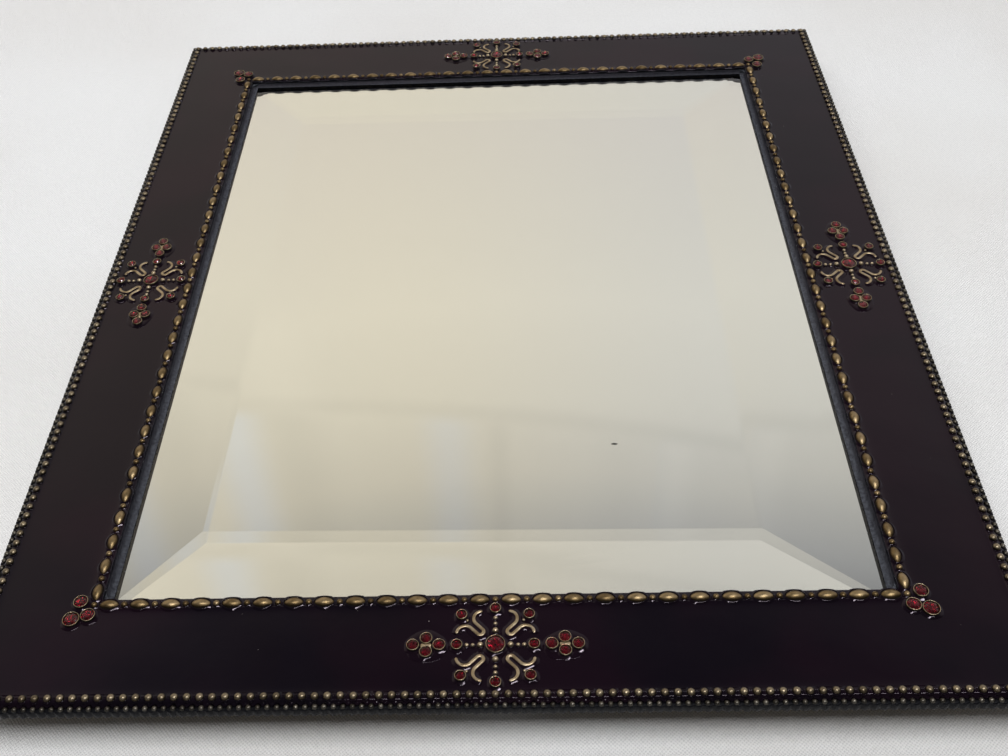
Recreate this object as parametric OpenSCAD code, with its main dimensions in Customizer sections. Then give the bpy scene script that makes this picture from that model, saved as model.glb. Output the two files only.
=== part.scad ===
// Bevelled mirror in an enamelled cast frame with beaded borders, crystal ornaments and an easel back.
// It lies on its back: +Z is out of the mirror's face, +Y is its top edge and +X its right side.
// The origin is the middle of the rear rim's plane, on which it rests.

/* [Sight opening] */
// Width of the opening that shows the mirror
sight_w = 196.6; // [170:0.1:230]
// Height of the opening that shows the mirror
sight_h = 242.8; // [210:0.1:290]
// Corner radius of the opening
sight_r = 3; // [1:0.5:6]

/* [Mirror glass] */
// Thickness of the glass
glass_t = 4; // [3:0.5:6]
// Width of the bevel round the glass
bevel_w = 28.6; // [12:0.1:38]
// How far the bevel thins the edge of the glass
bevel_drop = 2; // [1:0.1:2.5]
// How far the lip covers the glass on the left and right
side_cover = 3.3; // [2:0.1:6]
// How far the lip covers the glass at the top and bottom
end_cover = 5.6; // [2:0.1:8]
// Thickness of the silvering and its paint
silver_t = 0.15; // [0.1:0.05:0.3]

/* [Frame casting] */
// Thickness of the front plate
plate_t = 1.5; // [1.2:0.1:3]
// Width of the band, from the inner bead line to the outer one
band_w = 25.4; // [22:0.1:36]
// Depth of the enamel on the plate
enamel_t = 0.8; // [0.5:0.1:1.2]
// Thickness of the wall round the glass
rabbet_wall_t = 1.6; // [1.2:0.1:2.4]
// Width of the channel between that wall and the rear rim
channel_w = 4.8; // [4.6:0.1:7]
// Thickness of the rear rim
rim_t = 1.8; // [1.4:0.1:3]
// Clearance round the glass, the pad and the board
rabbet_gap = 0.4; // [0.2:0.1:1]
// Gap between the lip and the glass where they seat
seat_gap = 0.05; // [0.02:0.01:0.1]

/* [Back] */
// Depth of the recess behind the backing board
recess_d = 4.5; // [4.2:0.1:7]
// Thickness of the backing board
board_t = 2.4; // [1.8:0.1:4]
// Thickness of the velvet on the board
velvet_t = 0.3; // [0.2:0.05:0.5]
// Thickness of the felt pad behind the glass
pad_t = 1.8; // [0.5:0.1:2.5]

/* [Bead borders] */
// Height of the bead tops above the enamel
bead_stand = 1.2; // [1:0.1:1.4]
// Distance from one round bead of the inner border to the next
inner_pitch = 7.7; // [6.6:0.1:9]
// Length of the long beads of the inner border
long_bead_l = 5.75; // [4:0.05:5.8]
// Width of the long beads of the inner border
long_bead_w = 3.2; // [2.8:0.1:3.4]
// Diameter of the round beads of the inner border
round_bead_d = 1.7; // [1.2:0.1:1.9]
// Width of the base wire of the inner border
inner_strip_w = 3.6; // [3.5:0.1:5]
// Diameter of the beads of the outer border
outer_bead_d = 2.1; // [1.7:0.1:2.3]
// Distance between the beads of the outer border
outer_pitch = 2.98; // [2.6:0.02:4]
// Width of the base wire of the outer border
outer_strip_w = 2.4; // [2.4:0.1:3.2]
// Depth of the base wire of the outer border
outer_strip_t = 1.2; // [1.1:0.1:2]

/* [Edge moulding] */
// Diameter of the beads of the edge moulding
edge_bead_d = 1.4; // [1:0.1:1.5]
// Distance between the beads and between the reeds of the edge moulding
edge_pitch = 2.2; // [2:0.05:3]
// Depth of the edge moulding
skirt_h = 2.6; // [2.4:0.1:4]
// Thickness of the edge moulding
skirt_t = 1.6; // [1.4:0.1:2.2]
// Depth of the edge beads' centres below the tops of the outer beads
edge_drop = 2.1; // [2:0.1:2.7]
// Diameter of the upright reeds under the edge beads
reed_d = 1.5; // [1.5:0.1:1.7]
// How far the reeds stand out of the edge moulding
reed_stand = 0.25; // [0.15:0.05:0.35]

/* [Ornaments] */
// Diameter of the middle crystal's setting
centre_set_d = 4.8; // [4:0.1:5.2]
// Diameter of the eight small settings round it
small_set_d = 2.8; // [2.2:0.1:3.2]
// Diameter of the settings in the four-crystal flowers
flower_set_d = 3.1; // [2.4:0.1:3.3]
// Diameter of the two small settings of each corner group
corner_set_d = 3.7; // [3:0.1:3.9]
// Diameter of the outer setting of each corner group
corner_big_d = 4.2; // [3.4:0.1:4.6]
// Height of the settings above the enamel
set_h = 1.1; // [0.8:0.1:1.5]
// Thickness of the settings' rims
set_wall = 0.28; // [0.2:0.02:0.4]
// Clearance between a crystal and its setting
crystal_gap = 0.04; // [0.02:0.01:0.08]
// Height of a crystal
crystal_h = 1; // [0.8:0.1:1.3]
// Width of the scrolls' half-round wire
wire_w = 0.9; // [0.6:0.1:1.1]
// Distance of the side crystals from the ornament's middle, along the band
arm_along = 9.25; // [8.5:0.05:9.5]
// Distance of the side crystals from the ornament's middle, across the band
arm_across = 9.9; // [9.2:0.05:10.2]
// Distance of the corner crystals from the ornament's middle, each way
arm_diagonal = 8.2; // [7.8:0.05:8.6]
// Distance of the four-crystal flowers from the ornament's middle
flower_at = 16.6; // [15.8:0.1:20]

/* [Easel] */
// Height of the easel hinge above the middle of the frame
hinge_y = 50; // [30:1:65]
// How far the leg opens
open_angle = 30; // [22:1:35]
// How far the standing mirror leans back
lean_angle = 17; // [14:1:20]
// Thickness of the leg
leg_t = 1.9; // [1.5:0.1:1.9]
// Width of the leg at the hinge
leg_top_w = 56; // [50:1:80]
// Width of the leg at its foot
leg_foot_w = 30; // [24:1:44]
// Thickness of the hinge leaves
leaf_t = 0.7; // [0.5:0.1:0.8]
// Width of the hinge
hinge_w = 42; // [36:1:46]
// Length of each hinge leaf, from the pin
leaf_l = 13; // [11:0.5:16]
// Diameter of the hinge pin
pin_d = 1.4; // [1.2:0.1:1.6]
// Wall of the hinge knuckles
knuckle_wall = 0.55; // [0.45:0.05:0.6]
// Radial clearance of the pin in its knuckles
pin_gap = 0.05; // [0.03:0.01:0.08]
// Side clearance between knuckles
knuckle_gap = 0.3; // [0.2:0.05:0.5]
// Clearance of the leg and its knuckle from the board
swing_gap = 0.3; // [0.2:0.05:0.4]
// Diameter of the rivets
rivet_d = 2; // [1.6:0.1:2.4]

/* [Turn buttons] */
// Thickness of a turn button
button_t = 0.8; // [0.6:0.1:1]
// Width of a turn button
button_w = 5.4; // [4.8:0.1:5.8]
// Reach of a turn button from its screw
button_reach = 9; // [8:0.5:12]
// Diameter of the screws' shanks
screw_d = 1.9; // [1.6:0.1:2.2]
// Diameter of the screws' heads
screw_head_d = 4; // [3.4:0.1:4.6]
// Height of the screws' heads
screw_head_h = 1.1; // [0.8:0.1:1.3]
// Radial clearance round the screws
screw_gap = 0.05; // [0.03:0.01:0.08]
// Gap under and over each turn button
button_gap = 0.05; // [0.03:0.01:0.1]
// Distance from the middle of a side to its turn buttons, as a share of half that side
button_place = 0.55; // [0.35:0.05:0.7]

/* [Hidden] */
$fn = 48;
eps = 0.01;
// How far a cut runs past what it cuts
over = 1;

// Glass and the pieces behind it, from the rest plane upwards
glass_w = sight_w + 2 * side_cover;
glass_h = sight_h + 2 * end_cover;
velvet_z = recess_d - velvet_t;
board_z = recess_d;
pad_z = board_z + board_t;
silver_z = pad_z + pad_t;
glass_z = silver_z + silver_t;
glass_top_z = glass_z + glass_t;
bevel_slope = bevel_drop / bevel_w;
lip_cover = max(side_cover, end_cover);
lip_z = glass_top_z - bevel_drop + bevel_slope * lip_cover + seat_gap;

// Front of the frame
tray_z = lip_z + plate_t;
enamel_z = tray_z + enamel_t;
bead_top_z = enamel_z + bead_stand;
inner_line_w = sight_w + inner_strip_w;
inner_line_h = sight_h + inner_strip_w;
outer_line_w = inner_line_w + 2 * band_w;
outer_line_h = inner_line_h + 2 * band_w;
enamel_w = outer_line_w - outer_strip_w;
enamel_h = outer_line_h - outer_strip_w;
outer_ledge_z = enamel_z - outer_strip_t;
plate_w = outer_line_w + outer_strip_w;
plate_h = outer_line_h + outer_strip_w;
edge_line_w = plate_w + skirt_t;
edge_line_h = plate_h + skirt_t;
skirt_top_z = bead_top_z - edge_drop;
skirt_z = skirt_top_z - skirt_h;
frame_w = plate_w + 2 * (skirt_t + reed_stand);
frame_h = plate_h + 2 * (skirt_t + reed_stand);

// Back of the frame
rabbet_w = glass_w + 2 * rabbet_gap;
rabbet_h = glass_h + 2 * rabbet_gap;
channel_in_w = rabbet_w + 2 * rabbet_wall_t;
channel_in_h = rabbet_h + 2 * rabbet_wall_t;
channel_out_w = channel_in_w + 2 * channel_w;
channel_out_h = channel_in_h + 2 * channel_w;
rim_w = channel_out_w + 2 * rim_t;
rim_h = channel_out_h + 2 * rim_t;
boss_wall = 2.6;
boss_d = screw_d + 2 * boss_wall;
notch_gap = 4;
notch_w = leg_foot_w + 2 * notch_gap;
// Radius of the leg's foot, as a share of its width
foot_round = 0.62;
pin_out = 0.4;

// Easel: the pin's axis, and the leg's length that puts its foot level with the frame's lower edge
knuckle_r = pin_d / 2 + pin_gap + knuckle_wall;
pin_z = velvet_z - swing_gap - knuckle_r;
stand_drop = hinge_y + frame_h / 2 - (skirt_z - pin_z) * tan(lean_angle);
leg_reach = stand_drop / (cos(open_angle) + tan(lean_angle) * sin(open_angle));
leg_top_gap = knuckle_r + 2 * swing_gap;
leg_leaf_z = pin_z - knuckle_r;
leg_z = leg_leaf_z + leaf_t;
board_leaf_z = velvet_z - leaf_t;
rivet_head_t = 0.45;
rivet_head_d = 1.7 * rivet_d;
// Rivets' places, as shares of the hinge's width
RIVET_PLACES = [-0.38, -0.16, 0.16, 0.38];
knuckle_split = hinge_w / 6;
BOARD_KNUCKLES = [[-hinge_w / 2, -knuckle_split - knuckle_gap], [knuckle_split + knuckle_gap, hinge_w / 2]];
LEG_KNUCKLES = [[-knuckle_split, knuckle_split]];

// The heel of the leg's leaf meets the board's leaf when the leg is fully open
heel_room = 0.1;
heel_top = leg_z - pin_z;
heel_l = (board_leaf_z - heel_room - pin_z - heel_top * cos(open_angle)) / sin(open_angle);

// Where the turn buttons' screws stand, and which way each button points
tail_gap = 0.4;
screw_x = channel_out_w / 2 - button_w / 2 - tail_gap;
screw_y = channel_out_h / 2 - button_w / 2 - tail_gap;
button_x = button_place * glass_w / 2;
button_y = button_place * glass_h / 2;
button_z = velvet_z - button_gap - button_t;
boss_z = velvet_z;
head_z = button_z - button_gap - screw_head_h;
SCREWS = [
  [-button_x, screw_y, -90], [button_x, screw_y, -90],
  [-button_x, -screw_y, 90], [button_x, -screw_y, 90],
  [-screw_x, button_y, 0], [-screw_x, -button_y, 0],
  [screw_x, button_y, 180], [screw_x, -button_y, 180]
];
screw_depth = 4;
slot_w = 0.5;
slot_depth = 0.4;

// Each side's turn about the middle, and the length and the distance of a line along it
function side_turn(side) = side == "bottom" ? 0 : side == "right" ? 90 : side == "top" ? 180 : 270;
function is_end(side) = side == "top" || side == "bottom";
function line_len(side, w, h) = is_end(side) ? w : h;
function line_off(side, w, h) = is_end(side) ? h / 2 : w / 2;
function corner_sx(corner) = corner == "ne" || corner == "se" ? 1 : -1;
function corner_sy(corner) = corner == "ne" || corner == "nw" ? 1 : -1;

module plate(w, h, z0, z1) {
  translate([-w / 2, -h / 2, z0])
    cube([w, h, z1 - z0]);
}

module rounded_plate(w, h, r, z0, z1) {
  translate([0, 0, z0])
    linear_extrude(z1 - z0)
      union() {
        square([w - 2 * r, h], center = true);
        square([w, h - 2 * r], center = true);
        for (sx = [-1, 1], sy = [-1, 1])
          translate([sx * (w / 2 - r), sy * (h / 2 - r)])
            circle(r);
      }
}

// Everything on a side is drawn below the middle, with +X along the side, and turned into place
module on_side(side, w, h) {
  rotate([0, 0, side_turn(side)])
    translate([0, -line_off(side, w, h), 0])
      children();
}

// A bar along a side with mitred ends, whose corners lie on the line's own corners
module mitred_outline(span, width) {
  polygon([
    [-(span + width) / 2, -width / 2], [(span + width) / 2, -width / 2],
    [(span - width) / 2, width / 2], [-(span - width) / 2, width / 2]
  ]);
}

module mitred_bar(span, width, z0, z1) {
  translate([0, 0, z0])
    linear_extrude(z1 - z0)
      mitred_outline(span, width);
}

// A long bead is a lens turned about its own length, of which the part above the base wire stands
module long_bead() {
  half_l = long_bead_l / 2;
  half_w = long_bead_w / 2;
  arc_r = (half_l * half_l + half_w * half_w) / (2 * half_w);
  intersection() {
    translate([0, 0, bead_top_z - half_w])
      rotate([0, 90, 0])
        rotate_extrude()
          intersection() {
            translate([half_w - arc_r, 0])
              circle(arc_r, $fn = 96);
            translate([0, -half_l])
              square([half_w, long_bead_l]);
          }
    translate([-half_l - over, -half_w - over, enamel_z])
      cube([long_bead_l + 2 * over, long_bead_w + 2 * over, long_bead_w]);
  }
}

// A bead of which the part above z_cut stands
module dome(d, z_centre, z_cut) {
  translate([0, 0, z_cut])
    rotate_extrude()
      intersection() {
        translate([0, z_centre - z_cut])
          circle(d = d);
        square(d);
      }
}

module frame_casting() {
  color([0.55, 0.45, 0.28])
    difference() {
      union() {
        plate(plate_w, plate_h, lip_z, tray_z);
        plate(rim_w, rim_h, 0, lip_z + eps);
      }
      rounded_plate(sight_w, sight_h, sight_r, lip_z - over, tray_z + over);
      plate(rabbet_w, rabbet_h, -over, lip_z);
      outer_ledge();
      rear_channel();
      for (s = SCREWS)
        translate([s[0], s[1], boss_z - over])
          cylinder(r = screw_d / 2 + screw_gap, h = screw_depth + over + screw_gap);
      translate([-notch_w / 2, -rim_h / 2 - over, -over])
        cube([notch_w, rim_h / 2 - glass_h / 2 + over, boss_z + over]);
    }
}

module outer_ledge() {
  difference() {
    plate(plate_w + over, plate_h + over, outer_ledge_z, tray_z + over);
    plate(enamel_w, enamel_h, outer_ledge_z - over, tray_z + 2 * over);
  }
}

module rear_channel() {
  difference() {
    union() {
      difference() {
        plate(channel_out_w, channel_out_h, boss_z, lip_z);
        plate(channel_in_w, channel_in_h, boss_z - over, lip_z + over);
      }
      plate(channel_out_w, channel_out_h, -over, boss_z);
    }
    for (s = SCREWS)
      translate([s[0], s[1], boss_z])
        cylinder(d = boss_d, h = lip_z);
  }
}

module enamel_field() {
  color([0.1, 0.06, 0.09])
    difference() {
      plate(enamel_w, enamel_h, tray_z, enamel_z);
      plate(inner_line_w + inner_strip_w, inner_line_h + inner_strip_w, tray_z - over, enamel_z + over);
    }
}

module inner_beads(side) {
  span = line_len(side, inner_line_w, inner_line_h);
  n = round(span / inner_pitch);
  step = span / n;
  round_z = enamel_z + bead_rise;
  color([0.72, 0.58, 0.34])
    on_side(side, inner_line_w, inner_line_h) {
      union() {
        mitred_bar(span, inner_strip_w, tray_z, enamel_z);
        for (i = [0:n - 1])
          translate([(i + 0.5) * step - span / 2, 0, 0])
            long_bead();
        for (i = [1:n - 1])
          translate([i * step - span / 2, 0, 0])
            dome(round_bead_d, round_z, enamel_z);
      }
      if (is_end(side))
        for (sx = [-1, 1])
          translate([sx * span / 2, 0, 0])
            dome(round_bead_d, round_z, enamel_z);
    }
}

module outer_beads(side) {
  span = line_len(side, outer_line_w, outer_line_h);
  n = round(span / outer_pitch);
  step = span / n;
  bead_z = bead_top_z - outer_bead_d / 2;
  color([0.72, 0.58, 0.34])
    on_side(side, outer_line_w, outer_line_h) {
      union() {
        mitred_bar(span, outer_strip_w, outer_ledge_z, enamel_z);
        for (i = [1:n - 1])
          translate([i * step - span / 2, 0, bead_z])
            sphere(d = outer_bead_d);
      }
      if (is_end(side))
        for (sx = [-1, 1])
          translate([sx * span / 2, 0, 0])
            dome(outer_bead_d, bead_z, enamel_z);
    }
}

// The edge moulding is a short reeded skirt with a bead on top of each reed
module edge_moulding(side) {
  span = line_len(side, edge_line_w, edge_line_h);
  n = round(span / edge_pitch);
  step = span / n;
  reed_out = skirt_t / 2 + reed_stand - reed_d / 2;
  color([0.6, 0.48, 0.3])
    on_side(side, edge_line_w, edge_line_h) {
      union() {
        translate([0, 0, skirt_z])
          linear_extrude(skirt_h)
            union() {
              mitred_outline(span, skirt_t);
              for (i = [1:n - 1])
                translate([i * step - span / 2, -reed_out])
                  circle(d = reed_d);
            }
        for (i = [1:n - 1])
          translate([i * step - span / 2, -reed_out, 0])
            dome(edge_bead_d, skirt_top_z, skirt_top_z);
      }
      if (is_end(side))
        for (sx = [-1, 1])
          translate([sx * span / 2, 0, 0])
            dome(edge_bead_d, skirt_top_z, skirt_top_z);
    }
}

// A setting is a cup with a thin rim that leans in a little, and the crystal sits on its floor
module setting(d) {
  rotate_extrude()
    polygon([
      [0, 0], [d / 2, 0], [d / 2 - set_lean, set_h], [d / 2 - set_wall, set_h],
      [d / 2 - set_wall, set_floor_t], [0, set_floor_t]
    ]);
}

// A crystal is cut with eight sloping facets round a flat table
module crystal(d) {
  girdle = d / 2 - set_wall - crystal_gap;
  translate([0, 0, set_floor_t])
    rotate([0, 0, 180 / crystal_sides])
      cylinder(r1 = girdle, r2 = crystal_table * girdle, h = crystal_h, $fn = crystal_sides);
}

// Settings and crystals
set_lean = 0.06;
set_floor_t = 0.25;
crystal_sides = 8;
crystal_table = 0.55;

// Places in an ornament, with X along the band and Y across it
SMALL_AT = [
  [arm_along, 0], [-arm_along, 0], [0, arm_across], [0, -arm_across],
  [arm_diagonal, arm_diagonal], [-arm_diagonal, arm_diagonal],
  [-arm_diagonal, -arm_diagonal], [arm_diagonal, -arm_diagonal]
];
flower_long = 3.15;
flower_short = 1.8;
FLOWER_AT = [[flower_long, 0], [-flower_long, 0], [0, flower_short], [0, -flower_short]];
// Bead rows on the four arms: share of the way to the side crystal, and diameter
ARM_BEADS = [[0.39, 1.3], [0.585, 0.9], [0.745, 1]];
// How far the centres of the small round beads stand above the enamel
bead_rise = 0.1;
knot_bead_d = 0.8;
knot_gap = 0.15;
knot_at = arm_diagonal * sqrt(2) - small_set_d / 2 - knot_bead_d / 2 - knot_gap;
web_r = 1;
web_share = 0.7;
web_h = web_share * set_h;

module half_round() {
  intersection() {
    circle(d = wire_w, $fn = 24);
    translate([-wire_w, 0])
      square([2 * wire_w, wire_w]);
  }
}

module wire_arc(r, from, sweep) {
  rotate([0, 0, from])
    rotate_extrude(angle = sweep)
      translate([r, 0])
        half_round();
}

module wire_bar(span) {
  rotate([90, 0, 90])
    linear_extrude(span)
      half_round();
}

// The rounded end of a wire, on the +Y side of its last section
module wire_end() {
  rotate_extrude(angle = 180)
    intersection() {
      circle(d = wire_w, $fn = 24);
      square(wire_w);
    }
}

// A scroll lies along +X: a narrow bend towards the ornament's middle, and two arms that curl apart
module scroll() {
  bend_r = 1;
  bend_x = 5.35;
  arm_end_x = 7.6;
  curl_r = 1.95;
  curl_sweep = 138;
  translate([bend_x, 0, 0])
    wire_arc(bend_r, 90, 180);
  for (m = [0, 1])
    mirror([0, m, 0]) {
      translate([bend_x, bend_r, 0])
        wire_bar(arm_end_x - bend_x);
      translate([arm_end_x, bend_r + curl_r, 0]) {
        wire_arc(curl_r, -90, curl_sweep);
        rotate([0, 0, curl_sweep - 90])
          translate([curl_r, 0, 0])
            wire_end();
      }
    }
}

module ornament(side) {
  color([0.75, 0.62, 0.38])
    on_side(side, inner_line_w + band_w, inner_line_h + band_w)
      translate([0, 0, enamel_z]) {
        setting(centre_set_d);
        for (p = SMALL_AT)
          translate([p[0], p[1], 0])
            setting(small_set_d);
        for (a = [0:90:270], b = ARM_BEADS) {
          reach = (a % 180 == 0 ? arm_along : arm_across) * b[0];
          rotate([0, 0, a])
            translate([reach, 0, 0])
              dome(b[1], bead_rise, 0);
        }
        for (a = [45:90:315])
          rotate([0, 0, a]) {
            scroll();
            translate([knot_at, 0, 0])
              dome(knot_bead_d, bead_rise, 0);
          }
        for (sx = [-1, 1])
          translate([sx * flower_at, 0, 0])
            flower_settings();
      }
}

module flower_settings() {
  union() {
    difference() {
      cylinder(r = web_r, h = web_h);
      for (p = FLOWER_AT)
        translate([p[0], p[1], -over])
          cylinder(d = flower_set_d - set_wall, h = set_h + 2 * over);
    }
    for (p = FLOWER_AT)
      translate([p[0], p[1], 0])
        setting(flower_set_d);
  }
}

module crystals(side) {
  color([0.45, 0.02, 0.08])
    on_side(side, inner_line_w + band_w, inner_line_h + band_w)
      translate([0, 0, enamel_z]) {
        crystal(centre_set_d);
        for (p = SMALL_AT)
          translate([p[0], p[1], 0])
            crystal(small_set_d);
        for (sx = [-1, 1], p = FLOWER_AT)
          translate([sx * flower_at + p[0], p[1], 0])
            crystal(flower_set_d);
      }
}

// Corner groups: two settings beside the ends of the bead rows and a bigger one outside the corner
CORNER_SMALL_AT = [[3.4, -0.7], [-0.5, 3.2]];
CORNER_BIG_AT = [4.4, 3.8];

module at_corner(corner) {
  sx = corner_sx(corner);
  sy = corner_sy(corner);
  translate([sx * inner_line_w / 2, sy * inner_line_h / 2, enamel_z])
    mirror([sx < 0 ? 1 : 0, 0, 0])
      mirror([0, sy < 0 ? 1 : 0, 0])
        children();
}

module corner_setting(corner) {
  color([0.75, 0.62, 0.38])
    at_corner(corner) {
      for (p = CORNER_SMALL_AT)
        translate([p[0], p[1], 0])
          setting(corner_set_d);
      translate([CORNER_BIG_AT[0], CORNER_BIG_AT[1], 0])
        setting(corner_big_d);
    }
}

module corner_crystals(corner) {
  color([0.45, 0.02, 0.08])
    at_corner(corner) {
      for (p = CORNER_SMALL_AT)
        translate([p[0], p[1], 0])
          crystal(corner_set_d);
      translate([CORNER_BIG_AT[0], CORNER_BIG_AT[1], 0])
        crystal(corner_big_d);
    }
}

// The bevels are four long wedges planed off a plain sheet
module mirror_glass() {
  color([0.8, 0.9, 0.88])
    difference() {
      plate(glass_w, glass_h, glass_z, glass_top_z);
      for (side = ["bottom", "right", "top", "left"])
        on_side(side, glass_w, glass_h)
          translate([-glass_h, 0, 0])
            rotate([90, 0, 90])
              linear_extrude(2 * glass_h)
                polygon([
                  [bevel_w, glass_top_z],
                  [-over, glass_top_z - bevel_drop - bevel_slope * over],
                  [-over, glass_top_z + over], [bevel_w, glass_top_z + over]
                ]);
    }
}

module mirror_silvering() {
  color([0.75, 0.77, 0.78])
    plate(glass_w, glass_h, silver_z, glass_z);
}

module felt_pad() {
  color([0.2, 0.2, 0.2])
    plate(glass_w, glass_h, pad_z, silver_z);
}

module backing_board() {
  color([0.45, 0.36, 0.25])
    difference() {
      plate(glass_w, glass_h, board_z, pad_z);
      rivets_at("board", board_z - over, pad_z + over);
    }
}

module board_velvet() {
  color([0.1, 0.08, 0.1])
    difference() {
      plate(glass_w, glass_h, velvet_z, board_z);
      rivets_at("board", velvet_z - over, board_z + over);
    }
}

// The leg is a tapered board with a curved foot, hinged at its wide end
module easel_leg() {
  foot_r = foot_round * leg_foot_w;
  color([0.1, 0.08, 0.1])
    difference() {
      translate([0, hinge_y, leg_z])
        linear_extrude(leg_t)
          intersection() {
            polygon([
              [-leg_top_w / 2, -leg_top_gap], [leg_top_w / 2, -leg_top_gap],
              [leg_foot_w / 2, -leg_reach], [-leg_foot_w / 2, -leg_reach]
            ]);
            union() {
              translate([0, foot_r - leg_reach])
                circle(foot_r);
              translate([-leg_top_w, foot_r - leg_reach])
                square([2 * leg_top_w, leg_reach]);
            }
          }
      rivets_at("leg", leg_z - over, leg_z + leg_t + over);
    }
}

module knuckles(widths, z_leaf, leaf_dir) {
  for (w = widths)
    translate([w[0], hinge_y, 0])
      rotate([90, 0, 90])
        linear_extrude(w[1] - w[0])
          union() {
            translate([0, pin_z])
              circle(knuckle_r);
            translate([leaf_dir > 0 ? 0 : -knuckle_r, z_leaf])
              square([knuckle_r, leaf_t]);
          }
}

module pin_bore() {
  translate([-hinge_w / 2 - over, hinge_y, pin_z])
    rotate([0, 90, 0])
      cylinder(r = pin_d / 2 + pin_gap, h = hinge_w + 2 * over);
}

module board_hinge_leaf() {
  color([0.62, 0.55, 0.38])
    difference() {
      union() {
        translate([-hinge_w / 2, hinge_y + leg_top_gap, board_leaf_z])
          cube([hinge_w, leaf_l - leg_top_gap, leaf_t]);
        for (w = BOARD_KNUCKLES)
          translate([w[0], hinge_y, board_leaf_z])
            cube([w[1] - w[0], leg_top_gap + eps, leaf_t]);
        knuckles(BOARD_KNUCKLES, board_leaf_z, 1);
      }
      pin_bore();
      rivets_at("board", board_leaf_z - over, velvet_z + over);
    }
}

module leg_hinge_leaf() {
  color([0.62, 0.55, 0.38])
    difference() {
      union() {
        translate([-hinge_w / 2, hinge_y - leaf_l, leg_leaf_z])
          cube([hinge_w, leaf_l - leg_top_gap, leaf_t]);
        translate([-knuckle_split, hinge_y - leg_top_gap - eps, leg_leaf_z])
          cube([2 * knuckle_split, leg_top_gap + heel_l + eps, leaf_t]);
        knuckles(LEG_KNUCKLES, leg_leaf_z, -1);
      }
      pin_bore();
      rivets_at("leg", leg_leaf_z - over, leg_z + over);
    }
}

module hinge_pin() {
  color([0.7, 0.7, 0.7])
    translate([-hinge_w / 2 - pin_out, hinge_y, pin_z])
      rotate([0, 90, 0])
        cylinder(d = pin_d, h = hinge_w + 2 * pin_out);
}

function rivet_y(leaf) = hinge_y + (leaf == "board" ? 1 : -1) * (leg_top_gap + leaf_l) / 2;

module rivets_at(leaf, z0, z1, d = rivet_d) {
  for (share = RIVET_PLACES)
    translate([share * hinge_w, rivet_y(leaf), z0])
      cylinder(d = d, h = z1 - z0);
}

module board_leaf_rivets() {
  color([0.75, 0.7, 0.55])
    union() {
      rivets_at("board", board_leaf_z, pad_z);
      rivets_at("board", board_leaf_z - rivet_head_t, board_leaf_z, rivet_head_d);
    }
}

module leg_leaf_rivets() {
  color([0.75, 0.7, 0.55])
    union() {
      rivets_at("leg", leg_leaf_z, leg_z + leg_t);
      rivets_at("leg", leg_leaf_z - rivet_head_t, leg_leaf_z, rivet_head_d);
    }
}

// A turn button is a strip with a round end at its screw and a round tip over the board
module turn_button(i) {
  s = SCREWS[i];
  color([0.62, 0.55, 0.38])
    translate([s[0], s[1], button_z])
      rotate([0, 0, s[2]])
        difference() {
          union() {
            cylinder(d = button_w, h = button_t);
            translate([0, -button_w / 2, 0])
              cube([button_reach - button_w / 2, button_w, button_t]);
            translate([button_reach - button_w / 2, 0, 0])
              cylinder(d = button_w, h = button_t);
          }
          translate([0, 0, -over])
            cylinder(r = screw_d / 2 + screw_gap, h = button_t + 2 * over);
        }
}

module turn_button_screws() {
  color([0.7, 0.68, 0.62])
    for (s = SCREWS)
      translate([s[0], s[1], head_z])
        difference() {
          union() {
            cylinder(d = screw_head_d, h = screw_head_h);
            cylinder(d = screw_d, h = boss_z - head_z + screw_depth);
          }
          translate([-screw_head_d, -slot_w / 2, -over])
            cube([2 * screw_head_d, slot_w, over + slot_depth]);
        }
}

frame_casting();
enamel_field();
inner_beads("top");  // inner_beads_top
inner_beads("bottom");  // inner_beads_bottom
inner_beads("left");  // inner_beads_left
inner_beads("right");  // inner_beads_right
outer_beads("top");  // outer_beads_top
outer_beads("bottom");  // outer_beads_bottom
outer_beads("left");  // outer_beads_left
outer_beads("right");  // outer_beads_right
edge_moulding("top");  // edge_moulding_top
edge_moulding("bottom");  // edge_moulding_bottom
edge_moulding("left");  // edge_moulding_left
edge_moulding("right");  // edge_moulding_right
ornament("top");  // ornament_top
ornament("bottom");  // ornament_bottom
ornament("left");  // ornament_left
ornament("right");  // ornament_right
crystals("top");  // crystals_top
crystals("bottom");  // crystals_bottom
crystals("left");  // crystals_left
crystals("right");  // crystals_right
corner_setting("ne");  // corner_setting_ne
corner_setting("nw");  // corner_setting_nw
corner_setting("sw");  // corner_setting_sw
corner_setting("se");  // corner_setting_se
corner_crystals("ne");  // corner_crystals_ne
corner_crystals("nw");  // corner_crystals_nw
corner_crystals("sw");  // corner_crystals_sw
corner_crystals("se");  // corner_crystals_se
mirror_glass();
mirror_silvering();
felt_pad();
backing_board();
board_velvet();
easel_leg();
board_hinge_leaf();
leg_hinge_leaf();
hinge_pin();
board_leaf_rivets();
leg_leaf_rivets();
turn_button(0);  // turn_button_top_left
turn_button(1);  // turn_button_top_right
turn_button(2);  // turn_button_bottom_left
turn_button(3);  // turn_button_bottom_right
turn_button(4);  // turn_button_left_upper
turn_button(5);  // turn_button_left_lower
turn_button(6);  // turn_button_right_upper
turn_button(7);  // turn_button_right_lower
turn_button_screws();
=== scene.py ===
"""A bevelled mirror in an enamelled frame with gilt beads, scrolls and red crystals, lying face up."""
import math
import random

import bmesh
import bpy
import numpy as np
from mathutils import Matrix, Vector


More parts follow.
